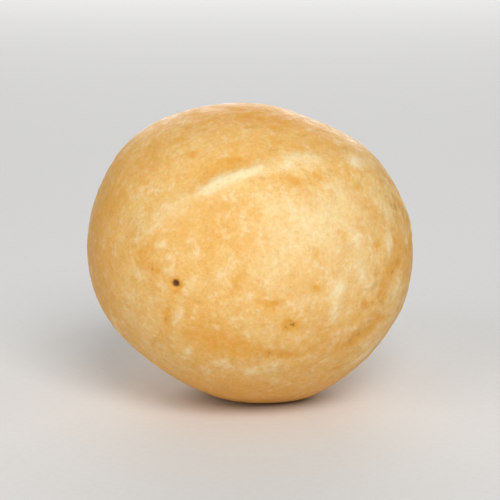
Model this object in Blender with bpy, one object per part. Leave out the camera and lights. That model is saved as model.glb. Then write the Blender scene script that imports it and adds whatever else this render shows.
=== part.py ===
"""One shelled macadamia nut: a single whole kernel that rests on a small flat spot.

The kernel is a ball with a few broad swellings and shallow flats, where it grew against its shell. A low
seam ridge runs round it, highest on the upper front. On the back is the scar, a shallow dimple where the
kernel was attached.

Lengths are in metres. +X is the longest width, +Z is up and the smooth face looks along -Y. The origin is the
bottom centre of the bounding box, in the plane of the resting spot.
"""

import math

import bmesh
import bpy
from mathutils import Vector

MM = 0.001


def direction(azimuth, elevation):
    """A unit vector from two angles in degrees.

    The azimuth turns from the front (-Y) to +X, and the elevation rises to +Z.
    """
    turn = math.radians(azimuth)
    rise = math.radians(elevation)
    across = math.cos(rise)
    return Vector((across * math.sin(turn), -across * math.cos(turn), math.sin(rise)))


# The ball under the swellings and flats, as half widths along X, Y and Z.
BALL_HALF_WIDTHS = (10.24 * MM, 9.85 * MM, 9.50 * MM)

# Each swelling has a direction, a height and a width in degrees. A flat is a swelling of negative height.
SWELLINGS = (
    (direction(-102, 44), 0.46 * MM, 24),  # upper left shoulder
    (direction(113, 62), -0.44 * MM, 20),  # flat on the upper right shoulder
    (direction(-76, -48), -0.68 * MM, 25),  # broad flat on the lower left
    (direction(64, -64), 0.26 * MM, 14),  # lower right, beside the resting spot
    (direction(165, 20), 0.25 * MM, 34),  # back
    (direction(128, -18), -0.36 * MM, 26),  # flat on the right of the back
    (direction(-150, 48), -0.28 * MM, 24),  # flat high on the back
    (direction(-20, -12), 0.14 * MM, 30),  # front
)

# The plane of the resting spot, below the kernel's middle. It trims the bottom to a true flat.
RESTING_DEPTH = 9.22 * MM
RIM_STEP = 0.3 * MM  # corners of the resting spot closer than this are joined

# The seam is a circle at this angle round its axis, and its ridge fades away from the crest.
SEAM_AXIS = direction(23, -32)
SEAM_ANGLE = math.radians(76.5)
SEAM_CREST = direction(-8, 36)
SEAM_HEIGHT = 0.12 * MM
SEAM_WIDTH = 0.70 * MM
SEAM_LEAST_SHARE = 0.25

SCAR_DIRECTION = direction(154, 2)
SCAR_DEPTH = 0.28 * MM
SCAR_WIDTH = 2.4 * MM
SCAR_RIM_HEIGHT = 0.10 * MM
SCAR_RIM_RADIUS = 3.4 * MM
SCAR_RIM_WIDTH = 0.9 * MM

SPHERE_SUBDIVISIONS = 5  # 5,120 triangles, about 0.7 mm long

KERNEL_COLOUR = (0.86, 0.55, 0.20, 1.0)
KERNEL_ROUGHNESS = 0.5


def bump(distance, width):
    """A smooth hump of height 1 at no distance, falling to about a third at one width."""
    return math.exp(-((distance / width) ** 2))


def body_radius(outward):
    """How far the ball with its swellings and flats reaches from the middle along a unit vector."""
    ball = 1 / Vector(part / half for part, half in zip(outward, BALL_HALF_WIDTHS)).length
    return ball + sum(
        height * bump(outward.angle(middle), math.radians(width)) for middle, height, width in SWELLINGS
    )


def seam_relief(outward, radius):
    """The ridge along the seam, full at its crest and faint on the far side."""
    distance = (outward.angle(SEAM_AXIS) - SEAM_ANGLE) * radius
    nearness = 0.5 + 0.5 * outward.dot(SEAM_CREST)
    share = SEAM_LEAST_SHARE + (1 - SEAM_LEAST_SHARE) * nearness
    return SEAM_HEIGHT * share * bump(distance, SEAM_WIDTH)


def scar_relief(outward, radius):
    """The attachment scar: a dimple with a low rim."""
    distance = outward.angle(SCAR_DIRECTION) * radius
    rim = SCAR_RIM_HEIGHT * bump(distance - SCAR_RIM_RADIUS, SCAR_RIM_WIDTH)
    return rim - SCAR_DEPTH * bump(distance, SCAR_WIDTH)


def kernel_point(outward):
    """The kernel's surface along a unit vector from its middle."""
    radius = body_radius(outward)
    return outward * (radius + seam_relief(outward, radius) + scar_relief(outward, radius))


def cut_resting_spot(mesh):
    """Trims the closed mesh at the resting plane and closes it there with one flat face."""
    everything = mesh.verts[:] + mesh.edges[:] + mesh.faces[:]
    bmesh.ops.bisect_plane(
        mesh,
        geom=everything,
        plane_co=(0, 0, -RESTING_DEPTH),
        plane_no=(0, 0, -1),
        clear_outer=True,
    )
    rim = [vert for vert in mesh.verts if vert.is_boundary]
    bmesh.ops.remove_doubles(mesh, verts=rim, dist=RIM_STEP)
    open_edges = [edge for edge in mesh.edges if edge.is_boundary]
    bmesh.ops.holes_fill(mesh, edges=open_edges, sides=0)


def move_origin_to_bottom_centre(mesh):
    """Shifts the mesh so that its box is centred on Z and stands on the XY plane."""
    places = [vert.co for vert in mesh.verts]
    lowest = Vector(min(place[axis] for place in places) for axis in range(3))
    highest = Vector(max(place[axis] for place in places) for axis in range(3))
    middle = (lowest + highest) / 2
    bmesh.ops.translate(mesh, verts=mesh.verts, vec=(-middle.x, -middle.y, -lowest.z))


def kernel_material():
    """The plain cream-gold of the kernel."""
    material = bpy.data.materials.new("kernel_flesh")
    material.use_nodes = True
    shader = material.node_tree.nodes["Principled BSDF"]
    shader.inputs["Base Color"].default_value = KERNEL_COLOUR
    shader.inputs["Roughness"].default_value = KERNEL_ROUGHNESS
    shader.inputs["Metallic"].default_value = 0.0
    return material


def build_kernel(collection):
    """Makes the kernel, one closed solid, in the collection."""
    mesh = bmesh.new()
    bmesh.ops.create_icosphere(mesh, subdivisions=SPHERE_SUBDIVISIONS, radius=1)
    for vert in mesh.verts:
        vert.co = kernel_point(vert.co.normalized())
    cut_resting_spot(mesh)
    move_origin_to_bottom_centre(mesh)
    bmesh.ops.recalc_face_normals(mesh, faces=mesh.faces)

    data = bpy.data.meshes.new("kernel")
    mesh.to_mesh(data)
    mesh.free()
    data.shade_smooth()
    data.set_sharp_from_angle(angle=math.radians(15))
    data.materials.append(kernel_material())
    collection.objects.link(bpy.data.objects.new("kernel", data))


def clear_scene():
    """Removes the objects that Blender starts with."""
    for existing in list(bpy.data.objects):
        bpy.data.objects.remove(existing)


def main():
    clear_scene()
    collection = bpy.data.collections.new("macadamia_kernel")
    bpy.context.scene.collection.children.link(collection)
    build_kernel(collection)


main()
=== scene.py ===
"""The looks of a shelled macadamia nut: its fine surface, its waxy flesh, and a plain soft studio round it.

The kernel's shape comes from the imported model. A fine mesh is laid over it, and grains, pits, a ridge and
creases are raised on that mesh. Lengths are in metres, +Z is up and the smooth face looks along -Y.
"""

import math
from typing import NamedTuple

import bmesh
import bpy
import numpy as np
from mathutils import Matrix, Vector, noise
from mathutils.bvhtree import BVHTree
from mathutils.kdtree import KDTree


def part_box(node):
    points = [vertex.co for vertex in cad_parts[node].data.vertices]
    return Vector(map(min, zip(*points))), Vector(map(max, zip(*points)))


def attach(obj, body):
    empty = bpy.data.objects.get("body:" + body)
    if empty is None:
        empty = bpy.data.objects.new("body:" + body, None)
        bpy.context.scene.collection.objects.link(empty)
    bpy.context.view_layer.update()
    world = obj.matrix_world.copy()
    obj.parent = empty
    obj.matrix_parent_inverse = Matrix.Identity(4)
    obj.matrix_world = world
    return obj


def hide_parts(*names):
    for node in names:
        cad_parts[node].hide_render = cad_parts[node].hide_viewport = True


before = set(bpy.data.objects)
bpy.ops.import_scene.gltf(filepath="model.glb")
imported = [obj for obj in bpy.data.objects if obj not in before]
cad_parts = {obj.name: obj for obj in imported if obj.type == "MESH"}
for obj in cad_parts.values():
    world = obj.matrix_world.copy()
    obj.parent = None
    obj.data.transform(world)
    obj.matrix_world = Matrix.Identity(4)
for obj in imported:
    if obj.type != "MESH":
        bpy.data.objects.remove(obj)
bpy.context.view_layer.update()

MM = 0.001
KERNEL_LOW, KERNEL_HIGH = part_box("kernel")
KERNEL_MIDDLE = (KERNEL_LOW + KERNEL_HIGH) / 2


def direction(azimuth, elevation):
    """A unit vector from two angles in degrees.

    The azimuth turns from the front (-Y) to +X, and the elevation rises to +Z.
    """
    turn = math.radians(azimuth)
    rise = math.radians(elevation)
    across = math.cos(rise)
    return np.array((across * math.sin(turn), -across * math.cos(turn), math.sin(rise)))


# --- The kernel's surface --------------------------------------------------------------------------------


class Wave(NamedTuple):
    """Smooth noise in blotches of about one size, which swings by about one amount either way.

    The size is in metres for noise over the kernel's surface, and in radii for noise over unit vectors.
    """

    size: float
    swing: float
    seed: int


SEED_STEP = 7.31  # how far apart in the noise two neighbouring seeds read

CELLS_PER_SIDE = 126  # the mesh is a cube's six sides, each this many cells along, rounded into a ball
SKIN_LEVELS = 2
WELD_GAP = 0.001 * MM

# The relief starts at the first height over the resting spot, and is full at the second.
RESTING_FADE = (0.02 * MM, 0.9 * MM)

# Broad, shallow unevenness of the whole kernel.
UNEVENNESS = (
    Wave(5.0 * MM, 0.085 * MM, 5),
    Wave(2.2 * MM, 0.050 * MM, 6),
    Wave(0.9 * MM, 0.014 * MM, 7),
    Wave(0.45 * MM, 0.005 * MM, 9),
)

# The smooth face is roughly round, and beyond it the kernel is grainy in patches.
FACE_MIDDLE = direction(-12, 12)
FACE_REACH = (math.radians(34), math.radians(82))  # where the grain begins and where it is full
FACE_EDGE = (Wave(0.45, 0.30, 1), Wave(0.16, 0.16, 2))  # makes the face's edge uneven
FACE_GRAIN = 0.22  # how grainy the smooth face is, where the roughest patches are 1
ROUGH_PATCHES = (Wave(0.75, 1.00, 16), Wave(0.22, 0.35, 17))
ROUGH_SPAN = (-0.15, 0.40)  # the noise where a patch is sleek and where it is rough
SLEEK_GRAIN = 0.25  # how grainy the sleek patches are

# Puffy grains have creases between them, and plain lumps are only uneven.
PUFFY_GRAINS = (Wave(0.85 * MM, 0.16, 30), Wave(0.46 * MM, 0.34, 31))
PLAIN_LUMPS = (Wave(0.60 * MM, 0.40, 40), Wave(0.32 * MM, 0.38, 41))
PUFFINESS = 2.4  # how steeply a puffy grain rises out of its creases
MIDDLE_GRAIN = 0.5  # halfway up a grain, at the height of the flesh round it
GRAIN_WANDER = Wave(0.32 * MM, 0.16 * MM, 20)  # bends the grains and pits out of round
GRAIN_STRENGTH = 0.75
GRAIN_PATCHES = Wave(2.4 * MM, 0.50, 4)  # how far the strength varies, in patches
GRAIN_HEIGHT = 0.11 * MM

# Small pits come in clusters, and are strongest where the kernel is grainy.
PIT_COUNT = 2200
PIT_SEED = 13
PIT_RADII = (0.12 * MM, 0.36 * MM)
PIT_DEPTH = 0.06 * MM
PIT_CLUSTERS = Wave(3.0 * MM, 1.0, 10)
CLUSTER_SPAN = (-0.15, 0.35)  # the noise where a cluster begins and where it is full
PITTED_SPAN = (0.15, 0.80)  # how grainy the kernel is where pits are faint and where they are full
FAINT_PITS = 0.12  # how deep the faint pits are, where the full ones are 1

# The seam is a circle at this angle round its axis. Near its crest it has a crisp ridge, and a groove above.
SEAM_AXIS = direction(23, -32)
SEAM_ANGLE = math.radians(75.2)
SEAM_CREST = direction(-10, 40)
SEAM_REACH = (math.radians(8), math.radians(17))  # the ridge is full up to the first, and gone by the second
SEAM_RETURN = (math.radians(60), math.radians(85))  # on the far side it shows again, faintly and in patches
SEAM_FAINT_SHARE = 0.40
SEAM_FAINT_PATCHES = Wave(0.30, 1.0, 14)
SEAM_FAINT_SPAN = (-0.25, 0.25)
SEAM_HEIGHT = 0.10 * MM
SEAM_WIDTH = 0.36 * MM
# The ridge's paleness is partly its own and partly a painted highlight.
SEAM_PALENESS_AND_HIGHLIGHT = 0.95
GROOVE_GAP = 2.6 * SEAM_WIDTH
GROOVE_DEPTH = 0.05 * MM
GROOVE_WIDTH = 1.5 * SEAM_WIDTH
# The groove's darkening is painted shade.
GROOVE_PAINTED_SHADE = 0.25

# The scar is on the back, with a pale rim, radial wrinkles and a small hollow in its middle.
SCAR = direction(154, 2)
SCAR_EDGE = (0.8 * MM, 3.4 * MM)  # full up to the first and gone by the second
SCAR_TONE = 0.10
SCAR_RIM_RADIUS = 3.3 * MM
SCAR_RIM_WIDTH = 0.5 * MM
SCAR_RIM_HEIGHT = 0.02 * MM
SCAR_RIM_TONE = 0.16
SCAR_WRINKLES = Wave(0.22, 1.0, 15)
SCAR_WRINKLE_LENGTH = 6 * MM
SCAR_WRINKLE_HEIGHT = 0.06 * MM
SCAR_WRINKLE_TONE = 0.30
SCAR_HOLLOW_WIDTH = 0.38 * MM
SCAR_HOLLOW_DEPTH = 0.16 * MM
SCAR_HOLLOW_TONE = 0.45

# The pore is a small dark hole with a faint raised rim.
PORE = direction(-26, -0.5)
PORE_RADIUS = 0.23 * MM
PORE_DEPTH = 0.22 * MM
PORE_RIM_RADIUS = 0.42 * MM
PORE_RIM_WIDTH = 0.15 * MM
PORE_RIM_HEIGHT = 0.02 * MM

# The ridge, the scar and the marks wander from their true outlines, and the marks are broken up too.
FEATURE_WANDER = (Wave(0.09, 0.018, 3), Wave(0.025, 0.006, 12))
MARK_STRENGTH = 0.9
MARK_BREAKS = (Wave(0.70 * MM, 0.60, 8), Wave(0.32 * MM, 0.40, 18))  # how far the strength varies

EVEN_TONE = 0.5  # the tone mask's value where nothing makes the flesh paler or darker


class Mark(NamedTuple):
    """A soft oval on the kernel. Its tone is above 0 if it is paler than the flesh round it."""

    azimuth: float  # the direction of its middle from the kernel's middle, in degrees
    elevation: float
    lean: float  # degrees that its long way rises to the right
    length: float  # half the long way, in mm
    width: float  # half the short way, in mm
    tone: float
    rise: float = 0.0  # its height in mm, below 0 for a hollow


MARK_BALL = 10.0  # the radius, in mm, of the ball that the marks are laid out on

# Flat fields of colour, which nothing breaks up.
FIELDS = (
    # The front: gold round its edges, and cream right of the middle.
    # The gold round the front's edges is partly the kernel's own colour and partly painted shade of the rims.
    Mark(-78, 0, 90, 8.00, 3.80, -0.38),
    Mark(10, -66, 0, 7.50, 3.80, -0.38),
    Mark(-20, 80, 0, 6.00, 3.00, -0.42),
    Mark(-62, -34, -45, 4.40, 1.80, -0.14),
    Mark(78, -22, 80, 3.60, 1.80, -0.26),
    Mark(30, 12, 60, 5.00, 3.50, 0.24),
    # The middle: two cream fields.
    Mark(22, 21, 15, 2.30, 1.60, 0.28),
    Mark(4, 6, 25, 2.10, 1.00, 0.22),
    # The right side: two golden fields.
    Mark(100, 0, 60, 3.00, 2.10, -0.40),
    Mark(84, -52, 10, 2.60, 1.40, -0.32),
    # The left side: gold low down, and a small cream field.
    Mark(-108, -28, 10, 3.20, 2.00, -0.14),
    Mark(-86, 12, 50, 1.30, 0.80, 0.30),
    # The back: a cream field beside the scar, and a golden one under it.
    Mark(-165, 12, 70, 4.40, 2.80, 0.26),
    Mark(168, -34, 0, 4.00, 2.00, -0.38),
    # The top: a golden field.
    Mark(120, 72, 0, 3.20, 2.00, -0.34),
)

MARKS = (
    # Along the seam: the ridge's soft left end, and a pale swell and scuffs on the right shoulder.
    # The paleness of these marks is partly their own and partly a painted highlight.
    Mark(-33, 23, 36, 1.90, 0.80, 0.40, 0.035),
    Mark(27, 45, 4, 1.50, 0.60, 0.55, 0.060),
    Mark(16, 43, 20, 0.60, 0.28, 0.45, 0.020),
    Mark(57, 40, 10, 0.55, 0.42, 1.10, 0.030),
    Mark(74, 37, -45, 0.70, 0.22, 0.45, 0.015),
    # Above the seam: a dark line beside the ridge, a dusky shoulder and a dark dent.
    # The dark line beside the ridge is painted shade along the groove.
    Mark(-9, 46, 12, 0.90, 0.26, -0.32, -0.030),
    Mark(-31, 47, 15, 0.70, 0.30, -0.46, -0.030),
    Mark(-46, 40, 45, 1.60, 1.00, -0.16, -0.010),
    # Under the swell: an amber band, a dusky spot and a pale upright streak.
    # The amber band is partly its own colour and partly painted shade under the swell.
    Mark(25, 37, 0, 2.40, 0.55, -0.44, -0.045),
    Mark(49, 30, 0, 0.50, 0.38, -0.36, -0.010),
    Mark(39, 32, 85, 0.80, 0.36, 0.45, 0.012),
    # The middle: a slanting crease, two small creases, a dark dot and a soft brown pit.
    Mark(-4, 2, 58, 1.00, 0.36, -0.42, -0.020),
    Mark(-13, 16, 0, 0.55, 0.24, -0.38, -0.012),
    Mark(8, -7, -12, 0.95, 0.32, -0.62, -0.035),
    Mark(23, -2, 0, 0.26, 0.22, -0.60, -0.025),
    Mark(14, -15, -30, 0.48, 0.40, -1.25, -0.090),
    # The right: a patch of pale grains with dark gaps.
    Mark(57, 10, 80, 0.62, 0.40, 0.80, 0.030),
    Mark(31, -4, 60, 0.62, 0.42, 0.70, 0.028),
    Mark(41, 1, 60, 0.55, 0.38, 0.62, 0.026),
    Mark(41, 13, 0, 0.45, 0.36, 0.80, 0.028),
    Mark(59, 0, 30, 0.85, 0.48, -0.58, -0.020),
    Mark(45, -3, 20, 0.36, 0.28, 0.60, 0.022),
    Mark(60, 20, 85, 0.50, 0.26, 0.55, 0.020),
    Mark(62, 9, 70, 0.36, 0.24, -0.55, -0.030),
    Mark(49, 9, 30, 0.46, 0.34, -0.66, -0.035),
    Mark(35, 6, 30, 0.34, 0.26, -0.30, -0.020),
    Mark(24, 10, 85, 0.40, 0.24, -0.46, -0.020),
    Mark(36, 15, 0, 0.26, 0.22, -0.50, -0.020),
    Mark(31, -11, 80, 0.60, 0.36, 0.70, 0.024),
    # The left: the pore's brown rim, a smudge beside it, and a few pale grains round it.
    Mark(-26, -0.5, -25, 0.60, 0.34, -0.95, -0.030),
    Mark(-22, -3, 0, 0.24, 0.20, 0.60, 0.015),
    Mark(-35, 4, -30, 0.38, 0.30, -0.80, -0.030),
    Mark(-40, 7, 60, 0.90, 0.50, -0.30, -0.010),
    Mark(-20, 0, 70, 0.38, 0.30, 0.75, 0.022),
    Mark(-33, 12, 0, 0.30, 0.26, 0.50, 0.022),
    Mark(-28, 8, 0, 0.28, 0.24, 0.50, 0.022),
    Mark(-21, 14, 0, 0.28, 0.26, 0.48, 0.022),
    Mark(-18, 10, 60, 0.36, 0.26, 0.48, 0.022),
    Mark(-76, -4, 90, 0.45, 0.20, 0.60, 0.010),
    # The lower left: short upright streaks.
    Mark(-30, -13, 80, 0.75, 0.24, -0.48, -0.022),
    Mark(-25, -12, 80, 0.70, 0.28, 0.48, 0.018),
    Mark(-25, -26, 45, 0.65, 0.30, 0.60, 0.020),
    # The bottom: an amber band with pale grains under it.
    Mark(-8, -22, -16, 2.60, 0.90, -0.44, -0.040),
    Mark(11, -27, 0, 1.10, 0.50, -0.44, -0.022),
    Mark(-12, -31, 20, 0.62, 0.32, 0.55, 0.020),
    Mark(1, -35, 0, 0.42, 0.32, 0.55, 0.020),
    # The lower right: a slanting crease between pale streaks, with pale grains and dark specks.
    # The crease's darkness is partly its own colour and partly painted shade.
    Mark(49, -21, 34, 1.50, 0.55, -0.30, -0.045),
    Mark(42, -25, 34, 0.66, 0.46, -0.50, -0.035),
    Mark(55, -18, 34, 0.66, 0.50, -0.26, -0.020),
    Mark(59, -34, 40, 1.20, 0.50, 0.45, 0.015),
    Mark(33, -23, 80, 0.90, 0.34, 0.42, 0.015),
    Mark(40, -19, 20, 0.36, 0.26, 0.45, 0.020),
    Mark(62, -8, 60, 0.42, 0.28, 0.50, 0.022),
    Mark(44, -10, 40, 0.34, 0.28, -0.80, -0.035),
    Mark(53, -7, 60, 0.60, 0.44, -0.60, -0.035),
    Mark(42, -38, 30, 0.24, 0.20, -0.65, -0.030),
    Mark(65, -40, 0, 0.24, 0.20, -0.65, -0.025),
    # The right side: a pale pimple, a dark pit, and a pale crescent with two scuffs below it.
    Mark(88, 17, 0, 0.32, 0.26, 0.85, 0.035),
    Mark(89, -22, 40, 0.34, 0.28, -0.80, -0.060),
    Mark(125, 6, 80, 4.20, 0.50, 0.50, 0.035),
    Mark(120, -16, 75, 0.60, 0.30, 0.80, 0.030),
    Mark(114, -25, 30, 0.42, 0.28, 0.90, 0.030),
    # The left side: dark specks high up, and pale flecks towards the back.
    Mark(-92, 34, 0, 0.32, 0.24, -0.85, -0.055),
    Mark(-101, 41, 30, 0.26, 0.20, -0.80, -0.045),
    Mark(-118, 6, 70, 0.48, 0.26, 0.80, 0.028),
    Mark(-124, -9, 60, 0.40, 0.24, 0.85, 0.028),
    Mark(-112, 22, 0, 0.34, 0.26, 0.70, 0.022),
    # The back: a soft dark crease, a pale streak, dark specks and a pale fleck.
    Mark(-152, -20, 35, 1.90, 0.34, -0.52, -0.045),
    Mark(-170, 38, -20, 1.60, 0.40, 0.48, 0.025),
    Mark(176, 26, 0, 0.30, 0.24, -0.85, -0.055),
    Mark(-158, 4, 20, 0.24, 0.20, -0.80, -0.045),
    Mark(-140, 30, 60, 0.46, 0.30, 0.75, 0.028),
    # The top: two pale scuffs.
    Mark(40, 74, 30, 0.90, 0.30, 0.60, 0.022),
    Mark(-120, 66, -20, 0.70, 0.30, 0.60, 0.022),
)


def step(low, high, value):
    """0 up to low, 1 from high on, and a smooth rise between."""
    share = np.clip((value - low) / (high - low), 0, 1)
    return share * share * (3 - 2 * share)


def hump(distance, width):
    """1 at no distance, falling smoothly to about a third at one width."""
    return np.exp(-((distance / width) ** 2))


def angle_to(outward, middle):
    """The angle in radians from each unit vector to one direction."""
    return np.arccos(np.clip(outward @ middle, -1, 1))


def blotches(points, *waves):
    """Smooth noise at every point: all the waves added together."""
    total = np.zeros(len(points))
    for wave in waves:
        places = points / wave.size + wave.seed * SEED_STEP
        total += wave.swing * np.array([noise.noise(Vector(place)) for place in places])
    return total


def wandering(points, *waves):
    """The points, each shifted a little, so that round marks drawn through them come out uneven."""
    for wave in waves:
        shifts = [blotches(points, wave._replace(seed=wave.seed + axis)) for axis in range(3)]
        points = points + np.stack(shifts, axis=1)
    return points


def grains(points):
    """Grains and lumps of several sizes, from about 0 in a crease to about 1 on top of a grain."""
    heights = MIDDLE_GRAIN + blotches(points, *PLAIN_LUMPS)
    for wave in PUFFY_GRAINS:
        away_from_crease = np.abs(blotches(points, wave._replace(swing=PUFFINESS)))
        heights += wave.swing * (np.minimum(away_from_crease, 1) - MIDDLE_GRAIN)
    return heights


def pits(points):
    """Round pits scattered over the points: 0 between pits and up to 1 in the middle of a deep one."""
    tree = KDTree(len(points))
    for index, point in enumerate(points):
        tree.insert(point, index)
    tree.balance()
    chance = np.random.default_rng(PIT_SEED)
    centres = chance.choice(len(points), PIT_COUNT, replace=False)
    radii = chance.uniform(*PIT_RADII, PIT_COUNT)
    strengths = chance.uniform(0, 1, PIT_COUNT) ** 2
    depths = np.zeros(len(points))
    for centre, radius, strength in zip(centres, radii, strengths):
        for _, index, distance in tree.find_range(points[centre], radius):
            depths[index] = max(depths[index], strength * (1 - (distance / radius) ** 2))
    return depths


def softened(data, values):
    """The values, each averaged with its neighbours' along the mesh's edges."""
    ends = np.empty(len(data.edges) * 2, np.int32)
    data.edges.foreach_get("vertices", ends)
    starts, stops = ends.reshape(-1, 2).T
    neighbours = np.bincount(ends, minlength=len(values))
    totals = np.bincount(starts, values[stops], len(values))
    totals += np.bincount(stops, values[starts], len(values))
    return (values + totals) / (1 + neighbours)


def cad_skin():
    """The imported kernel, welded and smoothed, as a tree to cast rays at."""
    mesh = bmesh.new()
    mesh.from_mesh(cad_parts["kernel"].data)
    bmesh.ops.remove_doubles(mesh, verts=mesh.verts, dist=WELD_GAP)
    data = bpy.data.meshes.new("skin")
    mesh.to_mesh(data)
    mesh.free()
    skin = bpy.data.objects.new("skin", data)
    bpy.context.scene.collection.objects.link(skin)
    smoother = skin.modifiers.new("smoother", "SUBSURF")
    smoother.levels = SKIN_LEVELS
    tree = BVHTree.FromObject(skin, bpy.context.evaluated_depsgraph_get())
    bpy.data.objects.remove(skin)
    bpy.data.meshes.remove(data)
    return tree


def ball_of_cells():
    """A unit ball of nearly even four-sided cells."""
    mesh = bmesh.new()
    bmesh.ops.create_cube(mesh, size=2)
    bmesh.ops.subdivide_edges(mesh, edges=mesh.edges, cuts=CELLS_PER_SIDE - 1, use_grid_fill=True)
    for vert in mesh.verts:
        vert.co = Vector(math.tan(math.pi / 4 * part) for part in vert.co).normalized()
    data = bpy.data.meshes.new("kernel_flesh")
    mesh.to_mesh(data)
    mesh.free()
    return data


def get_points(data):
    """The mesh's points, one row each."""
    values = np.empty(len(data.vertices) * 3)
    data.vertices.foreach_get("co", values)
    return values.reshape(-1, 3)


def set_points(data, points):
    """Moves the mesh's points to these rows."""
    data.vertices.foreach_set("co", points.ravel())
    data.update()


def get_normals(data):
    """The way that the mesh faces at each point, one unit row each."""
    values = np.empty(len(data.vertices) * 3, np.float32)
    data.vertex_normals.foreach_get("vector", values)
    return values.reshape(-1, 3).astype(float)


def lay_over_kernel(data):
    """Moves the unit ball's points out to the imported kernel. Returns their unit vectors, radii and places."""
    outward = get_points(data)
    skin = cad_skin()
    hits = [skin.ray_cast(KERNEL_MIDDLE, Vector(ray))[0] for ray in outward]
    radii = np.array([(hit - KERNEL_MIDDLE).length for hit in hits])
    points = outward * radii[:, None] + np.array(KERNEL_MIDDLE)
    set_points(data, points)
    return outward, radii, points


def grain_share(outward):
    """0 in the middle of the smooth face, and from SLEEK_GRAIN to 1 over the patchy rest."""
    reach = angle_to(outward, FACE_MIDDLE) + blotches(outward, *FACE_EDGE)
    rough = step(*ROUGH_SPAN, blotches(outward, *ROUGH_PATCHES))
    return step(*FACE_REACH, reach) * (SLEEK_GRAIN + (1 - SLEEK_GRAIN) * rough)


def grain_masks(data, outward, points):
    """How grainy each point is, how strong its grain is, the grain itself and the pits."""
    grainy = grain_share(outward)
    patches = GRAIN_STRENGTH + blotches(points, GRAIN_PATCHES)
    strength = FACE_GRAIN + (1 - FACE_GRAIN) * grainy * patches
    crinkled = wandering(points, GRAIN_WANDER)
    grain = softened(data, grains(crinkled))
    clustered = step(*CLUSTER_SPAN, blotches(points, PIT_CLUSTERS))
    pitted = FAINT_PITS + (1 - FAINT_PITS) * step(*PITTED_SPAN, grainy)
    return grainy, strength, grain, softened(data, pits(crinkled)) * clustered * pitted


def seam_relief(outward, radii):
    """The tone and the height of the ridge on the seam, and of the shallow groove just above it. The ridge is
    painted paler, partly its own pale core and partly a painted highlight, and the groove is darkened as
    painted shade.
    """
    gap = (angle_to(outward, SEAM_AXIS) - SEAM_ANGLE) * radii
    reach = angle_to(outward, SEAM_CREST)
    patches = step(*SEAM_FAINT_SPAN, blotches(outward, SEAM_FAINT_PATCHES))
    share = 1 - step(*SEAM_REACH, reach) + SEAM_FAINT_SHARE * patches * step(*SEAM_RETURN, reach)
    ridge = share * hump(gap, SEAM_WIDTH)
    groove = share * hump(gap - GROOVE_GAP, GROOVE_WIDTH)
    return SEAM_PALENESS_AND_HIGHLIGHT * ridge - GROOVE_PAINTED_SHADE * groove, SEAM_HEIGHT * ridge - GROOVE_DEPTH * groove


def scar_relief(outward, radii):
    """The tone and the height of the scar's rim, wrinkles and hollow."""
    gap = angle_to(outward, SCAR) * radii
    side = np.cross(SCAR, (0, 0, 1))
    around = np.arctan2(outward @ side, outward @ np.cross(SCAR, side))
    rays = np.stack([np.cos(around), np.sin(around), gap / SCAR_WRINKLE_LENGTH], axis=1)
    disc = 1 - step(*SCAR_EDGE, gap)
    rim = hump(gap - SCAR_RIM_RADIUS, SCAR_RIM_WIDTH)
    wrinkles = disc * blotches(rays, SCAR_WRINKLES)
    hollow = hump(gap, SCAR_HOLLOW_WIDTH)
    tone = SCAR_RIM_TONE * rim + SCAR_WRINKLE_TONE * wrinkles - SCAR_TONE * disc - SCAR_HOLLOW_TONE * hollow
    height = SCAR_RIM_HEIGHT * rim + SCAR_WRINKLE_HEIGHT * wrinkles - SCAR_HOLLOW_DEPTH * hollow
    return tone, height


def mark_share(outward, mark):
    """How much of one mark each point has, from 0 to 1."""
    middle = direction(mark.azimuth, mark.elevation)
    right = direction(mark.azimuth + 90, 0)
    up = np.cross(middle, right)
    lean = math.radians(mark.lean)
    along = outward @ (right * math.cos(lean) + up * math.sin(lean)) * MARK_BALL
    across = outward @ (up * math.cos(lean) - right * math.sin(lean)) * MARK_BALL
    near = outward @ middle > 0
    return near * hump(np.hypot(along / mark.length, across / mark.width), 1)


def mark_relief(outward, breaks):
    """The tone and the height of all the fields and marks together."""
    tone = sum(field.tone * mark_share(outward, field) for field in FIELDS)
    height = np.zeros(len(outward))
    for mark in MARKS:
        share = mark_share(outward, mark) * breaks
        tone += mark.tone * share
        height += mark.rise * MM * share
    return tone, height


def pore_relief(outward, radii):
    """The pore, 1 in its middle and 0 away from it, and its height with its rim."""
    gap = angle_to(outward, PORE) * radii
    pore = hump(gap, PORE_RADIUS)
    return pore, PORE_RIM_HEIGHT * hump(gap - PORE_RIM_RADIUS, PORE_RIM_WIDTH) - PORE_DEPTH * pore


def feature_relief(outward, radii, points):
    """The tone and the height of the ridge, the scar and the marks, added together."""
    uneven = wandering(outward, *FEATURE_WANDER)
    uneven /= np.linalg.norm(uneven, axis=1)[:, None]
    breaks = MARK_STRENGTH + blotches(points, *MARK_BREAKS)
    features = (seam_relief(uneven, radii), scar_relief(uneven, radii), mark_relief(uneven, breaks))
    tones, heights = zip(*features)
    return sum(tones), sum(heights)


def raise_surface(data):
    """Lays the ball over the kernel and raises its relief. Returns the masks that the material reads."""
    outward, radii, points = lay_over_kernel(data)
    facing = get_normals(data)
    grainy, strength, grain, pit = grain_masks(data, outward, points)
    tone, feature_height = feature_relief(outward, radii, points)
    pore, pore_height = pore_relief(outward, radii)

    relief = strength * GRAIN_HEIGHT * (grain - MIDDLE_GRAIN) - PIT_DEPTH * pit
    relief += blotches(points, *UNEVENNESS) + feature_height + pore_height
    lifted = step(*RESTING_FADE, points[:, 2])
    points += facing * (relief * lifted)[:, None]
    points[:, 2] = np.maximum(points[:, 2], 0)
    set_points(data, points)
    return {
        "grainy": grainy,
        "grain": MIDDLE_GRAIN + np.clip(strength, 0, 1) * (grain - MIDDLE_GRAIN),
        "pit": pit,
        "pore": pore,
        "tone": EVEN_TONE + 0.5 * np.clip(tone, -1, 1),
    }


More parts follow.
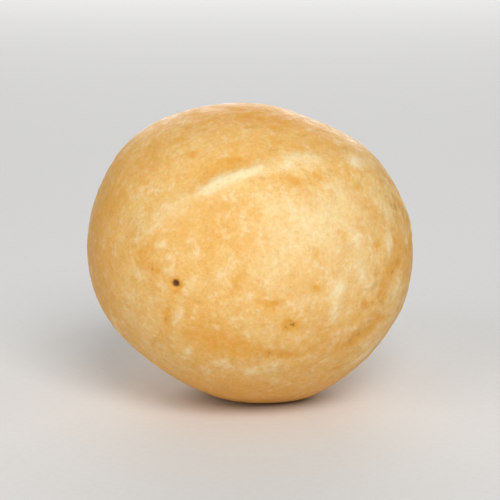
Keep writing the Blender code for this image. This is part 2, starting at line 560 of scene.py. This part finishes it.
def write_masks(data, masks):
    """Stores each mask on the mesh's points, under its name."""
    for name, values in masks.items():
        layer = data.attributes.new(name, "FLOAT", "POINT")
        layer.data.foreach_set("value", values.astype(np.float32))


# --- Materials -------------------------------------------------------------------------------------------


class Cloud(NamedTuple):
    """Noise of one size, turned into a value from `least` to `most` as it goes from `low` to `high`."""

    size: float
    detail: float
    roughness: float
    seed: float
    low: float
    high: float
    least: float
    most: float
    kind: str = "SMOOTHSTEP"


class Layer(NamedTuple):
    """A colour to lay over another, from none of it where a mask is `start` to `share` of it at `full`."""

    colour: tuple
    start: float
    full: float
    share: float
    kind: str = "SMOOTHSTEP"


# Colours, as shares of red, green and blue light, and then the opacity.
CREAM = (0.92, 0.67, 0.29, 1)
GOLD = (0.87, 0.51, 0.14, 1)
AMBER = (0.80, 0.37, 0.046, 1)
TAN = (0.82, 0.445, 0.115, 1)
GAP_BROWN = (0.56, 0.240, 0.045, 1)
PIT_BROWN = (0.32, 0.120, 0.022, 1)
IVORY = (0.97, 0.80, 0.49, 1)
PORE_DARK = (0.15, 0.052, 0.012, 1)

# The flesh: clouds over cream, tan where it is grainy, and amber patches there.
FLESH_CLOUDS = (
    (GOLD, Cloud(4.5 * MM, 3, 0.55, 1.0, 0.36, 0.64, 0.0, 0.90)),
    (GOLD, Cloud(1.5 * MM, 4, 0.65, 4.0, 0.44, 0.68, 0.0, 0.95)),
    (TAN, Cloud(2.4 * MM, 4, 0.60, 9.0, 0.52, 0.70, 0.0, 0.45)),
    (IVORY, Cloud(0.7 * MM, 3, 0.60, 7.0, 0.48, 0.70, 0.0, 0.60)),
)
GRAINY_TAN = Layer(TAN, 0.2, 1.0, 0.45)
AMBER_PATCHES = Cloud(4.0 * MM, 3, 0.50, 12.0, 0.48, 0.66, 0.0, 0.60)
AMBER_SPAN = (0.0, 0.3)  # how grainy the flesh is where the patches begin and where they are full

# The grain: brown gaps and pale tops, then amber flecks and fine brown pores over them.
FINEST_GRAIN = Cloud(0.20 * MM, 3, 0.60, 18.0, 0.30, 0.70, -0.10, 0.10)
GRAIN_LAYERS = (
    # The brown in the gaps is partly the flesh's own colour and partly painted shade.
    Layer(GAP_BROWN, 0.47, 0.12, 0.85, "LINEAR"),
    Layer(IVORY, 0.53, 0.85, 0.75, "LINEAR"),
)
SPECKS = (
    (AMBER, Cloud(0.22 * MM, 3, 0.60, 15.0, 0.35, 0.65, 0.0, 0.34, "LINEAR")),
    (GAP_BROWN, Cloud(0.17 * MM, 2, 0.50, 37.0, 0.60, 0.74, 0.0, 0.32, "LINEAR")),
)

# The pits, the pale and dark tones of the marks, and the pore.
TONE_BREAKS = Cloud(0.26 * MM, 3, 0.60, 41.0, 0.32, 0.68, 0.45, 1.45, "LINEAR")
# The pits grow browner with depth, partly their own colour and partly painted shade.
PIT_LAYERS = (
    Layer(GAP_BROWN, 0.00, 0.50, 0.50, "LINEAR"),
    Layer(PIT_BROWN, 0.35, 1.00, 0.65),
)
TONE_LAYERS = (
    Layer(IVORY, 0.50, 0.94, 0.90, "LINEAR"),
    Layer(AMBER, 0.50, 0.30, 0.80, "LINEAR"),
    Layer(PIT_BROWN, 0.24, 0.00, 0.85),
)
# The pore's dark is partly its own colour and partly painted shade in the hole.
PORE_LAYER = Layer(PORE_DARK, 0.20, 0.75, 1.00)

FACE_ROUGHNESS = 0.42
GRAIN_ROUGHNESS = 0.56
SHEEN_PATCHES = Cloud(1.0 * MM, 3, 0.60, 33.0, 0.35, 0.65, -0.08, 0.10)
SPECULAR = 0.18
SUBSURFACE_WEIGHT = 0.45
SUBSURFACE_SCALE = 0.55 * MM
SUBSURFACE_SPREAD = (1.0, 0.5, 0.2)  # how far red, green and blue light travel, as shares of the scale

# The finest bumps: the size, detail, roughness and seed of two noises, and how much the finer one counts.
FINE_BUMPS = (0.22 * MM, 3, 0.6, 21.0)
FINEST_BUMPS = (0.09 * MM, 2, 0.5, 27.0)
FINEST_SHARE = 0.5
BUMP_DISTANCE = 0.045 * MM


class Nodes:
    """A short way to add nodes to a material and join them."""

    def __init__(self, material):
        material.use_nodes = True
        self.tree = material.node_tree
        self.shader = self.tree.nodes["Principled BSDF"]
        self.where = self.tree.nodes.new("ShaderNodeTexCoord").outputs["Object"]

    def feed(self, socket, value):
        """Joins another node's output to a socket, or sets the socket to a plain value."""
        if isinstance(value, bpy.types.NodeSocket):
            self.tree.links.new(value, socket)
        else:
            socket.default_value = value

    def noise(self, size, detail, roughness, seed):
        """Noise from 0 to 1 whose blotches are about size across."""
        node = self.tree.nodes.new("ShaderNodeTexNoise")
        node.noise_dimensions = "4D"
        self.feed(node.inputs["Vector"], self.where)
        node.inputs["W"].default_value = seed
        node.inputs["Scale"].default_value = 1 / size
        node.inputs["Detail"].default_value = detail
        node.inputs["Roughness"].default_value = roughness
        return node.outputs["Fac"]

    def mask(self, name):
        """A mask that is stored on the mesh's points."""
        node = self.tree.nodes.new("ShaderNodeAttribute")
        node.attribute_name = name
        return node.outputs["Fac"]

    def ramp(self, value, low, high, to_low=0.0, to_high=1.0, kind="SMOOTHSTEP"):
        """value from low..high to to_low..to_high, held at the ends."""
        node = self.tree.nodes.new("ShaderNodeMapRange")
        node.interpolation_type = kind
        names = ("From Min", "From Max", "To Min", "To Max")
        for name, number in zip(names, (low, high, to_low, to_high)):
            node.inputs[name].default_value = number
        self.feed(node.inputs["Value"], value)
        return node.outputs["Result"]

    def cloud(self, cloud):
        """A cloud's value at each place."""
        patches = self.noise(cloud.size, cloud.detail, cloud.roughness, cloud.seed)
        return self.ramp(patches, cloud.low, cloud.high, cloud.least, cloud.most, cloud.kind)

    def math(self, operation, first, second):
        """The result of one operation on two values."""
        node = self.tree.nodes.new("ShaderNodeMath")
        node.operation = operation
        self.feed(node.inputs[0], first)
        self.feed(node.inputs[1], second)
        return node.outputs["Value"]

    def mix(self, share, first, second):
        """The first colour, with a share of the second laid over it."""
        node = self.tree.nodes.new("ShaderNodeMix")
        node.data_type = "RGBA"
        self.feed(node.inputs["Factor"], share)
        self.feed(node.inputs[6], first)
        self.feed(node.inputs[7], second)
        return node.outputs[2]

    def bump(self, height, distance):
        """The normal of a surface raised by the height, where a height of 1 is worth the distance."""
        node = self.tree.nodes.new("ShaderNodeBump")
        node.inputs["Distance"].default_value = distance
        self.feed(node.inputs["Height"], height)
        return node.outputs["Normal"]


def clouded(n, colour, *clouds):
    """The colour, with clouds of other colours laid over it."""
    for over, cloud in clouds:
        colour = n.mix(n.cloud(cloud), colour, over)
    return colour


def layered(n, colour, mask, *layers):
    """The colour, with each layer laid over it where the mask says."""
    for layer in layers:
        share = n.ramp(mask, layer.start, layer.full, 0.0, layer.share, layer.kind)
        colour = n.mix(share, colour, layer.colour)
    return colour


def flesh_colour(n, grainy):
    """Cream flesh, clouded with gold, tan and ivory, and patched with amber where it is grainy."""
    colour = clouded(n, CREAM, *FLESH_CLOUDS)
    colour = layered(n, colour, grainy, GRAINY_TAN)
    patches = n.math("MULTIPLY", n.cloud(AMBER_PATCHES), n.ramp(grainy, *AMBER_SPAN))
    return n.mix(patches, colour, AMBER)


def grain_colour(n, colour):
    """The colour, with brown gaps between pale grains, amber flecks and fine brown pores. The gaps' brown is
    partly the flesh's own colour and partly painted shade.
    """
    grain = n.math("ADD", n.mask("grain"), n.cloud(FINEST_GRAIN))
    colour = layered(n, colour, grain, *GRAIN_LAYERS)
    return clouded(n, colour, *SPECKS)


def mark_colour(n, colour):
    """The colour, with the pits, the pale and dark marks, and the pore. The pits' and the pore's brown is
    partly painted shade, and the tone mask carries painted shade and highlight from the seam, the front's edge
    fields and some marks.
    """
    contrast = n.math("SUBTRACT", n.mask("tone"), EVEN_TONE)
    tone = n.math("ADD", n.math("MULTIPLY", contrast, n.cloud(TONE_BREAKS)), EVEN_TONE)
    colour = layered(n, colour, n.mask("pit"), *PIT_LAYERS)
    colour = layered(n, colour, tone, *TONE_LAYERS)
    return layered(n, colour, n.mask("pore"), PORE_LAYER)


def kernel_material():
    """Waxy flesh that light sinks a little way into, glossier on the smooth face than on the grain."""
    material = bpy.data.materials.new("kernel_flesh")
    n = Nodes(material)
    shader = n.shader
    grainy = n.mask("grainy")
    n.feed(shader.inputs["Base Color"], mark_colour(n, grain_colour(n, flesh_colour(n, grainy))))
    roughness = n.ramp(grainy, 0.0, 1.0, FACE_ROUGHNESS, GRAIN_ROUGHNESS)
    n.feed(shader.inputs["Roughness"], n.math("ADD", roughness, n.cloud(SHEEN_PATCHES)))
    shader.inputs["Subsurface Weight"].default_value = SUBSURFACE_WEIGHT
    shader.inputs["Subsurface Scale"].default_value = SUBSURFACE_SCALE
    shader.inputs["Subsurface Radius"].default_value = SUBSURFACE_SPREAD
    shader.inputs["Specular IOR Level"].default_value = SPECULAR
    finest = n.math("MULTIPLY", n.noise(*FINEST_BUMPS), FINEST_SHARE)
    bumps = n.math("ADD", n.noise(*FINE_BUMPS), finest)
    n.feed(shader.inputs["Normal"], n.bump(bumps, BUMP_DISTANCE))
    return material


def build_kernel():
    """Makes the fine kernel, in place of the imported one."""
    data = ball_of_cells()
    write_masks(data, raise_surface(data))
    data.shade_smooth()
    data.materials.append(kernel_material())
    kernel = bpy.data.objects.new("kernel_surface", data)
    bpy.context.scene.collection.objects.link(kernel)
    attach(kernel, "root")
    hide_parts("kernel")


# --- The studio ------------------------------------------------------------------------------------------


class Softbox(NamedTuple):
    """A square lamp that looks at the kernel's middle from a direction."""

    name: str
    azimuth: float  # in degrees
    elevation: float
    distance: float  # in metres
    size: float
    power: float  # in watts


SOFTBOXES = (
    Softbox("key", 15, 40, 0.40, 0.20, 1.04),
    Softbox("fill", -44, 26, 0.50, 0.30, 0.50),
    Softbox("back", 180, 9, 0.50, 0.40, 1.50),
)
WORLD_STRENGTH = 0.26

CAMERA_ELEVATION = 12
CAMERA_LENS = 150
FRAME_WIDTH = 31.5 * MM  # how much the picture takes in at the kernel's middle
FLOOR_RADIUS = 1.5
FLOOR_ROUGHNESS = 0.75
FLOOR_COLOUR = (0.80, 0.795, 0.78, 1)
FLOOR_SHADE = (0.78, 0.775, 0.76, 1)
FLOOR_CLOUD = Cloud(0.4 * MM, 3, 0.5, 0.0, 0.3, 0.7, 0.0, 1.0)


def build_floor():
    """A large, plain pale disc."""
    mesh = bmesh.new()
    bmesh.ops.create_circle(mesh, cap_ends=True, segments=96, radius=FLOOR_RADIUS)
    data = bpy.data.meshes.new("floor")
    mesh.to_mesh(data)
    mesh.free()
    material = bpy.data.materials.new("floor_paper")
    n = Nodes(material)
    n.feed(n.shader.inputs["Base Color"], n.mix(n.cloud(FLOOR_CLOUD), FLOOR_COLOUR, FLOOR_SHADE))
    n.shader.inputs["Roughness"].default_value = FLOOR_ROUGHNESS
    data.materials.append(material)
    floor = bpy.data.objects.new("floor", data)
    bpy.context.scene.collection.objects.link(floor)


def place(data, name, back, distance):
    """Adds a lamp or camera that looks at the kernel's middle from a direction."""
    holder = bpy.data.objects.new(name, data)
    back = Vector(back)
    holder.location = KERNEL_MIDDLE + back * distance
    holder.rotation_mode = "QUATERNION"
    holder.rotation_quaternion = (-back).to_track_quat("-Z", "Y")
    bpy.context.scene.collection.objects.link(holder)
    return holder


def add_softbox(softbox):
    """Lights the kernel with one softbox."""
    light = bpy.data.lights.new(softbox.name, "AREA")
    light.size = softbox.size
    light.energy = softbox.power
    place(light, softbox.name, direction(softbox.azimuth, softbox.elevation), softbox.distance)


def add_world():
    """An even white glow from all round."""
    world = bpy.data.worlds.new("studio")
    world.use_nodes = True
    background = world.node_tree.nodes["Background"]
    background.inputs["Color"].default_value = (1, 1, 1, 1)
    background.inputs["Strength"].default_value = WORLD_STRENGTH
    bpy.context.scene.world = world


def add_camera():
    """A long lens at the front, a little above the kernel."""
    camera = bpy.data.cameras.new("camera")
    camera.lens = CAMERA_LENS
    camera.clip_start = 0.01
    camera.clip_end = 10
    distance = FRAME_WIDTH * CAMERA_LENS / camera.sensor_width
    bpy.context.scene.camera = place(camera, "camera", direction(0, CAMERA_ELEVATION), distance)


build_kernel()
build_floor()
for softbox in SOFTBOXES:
    add_softbox(softbox)
add_world()
add_camera()
bpy.context.scene.view_settings.view_transform = "Standard"
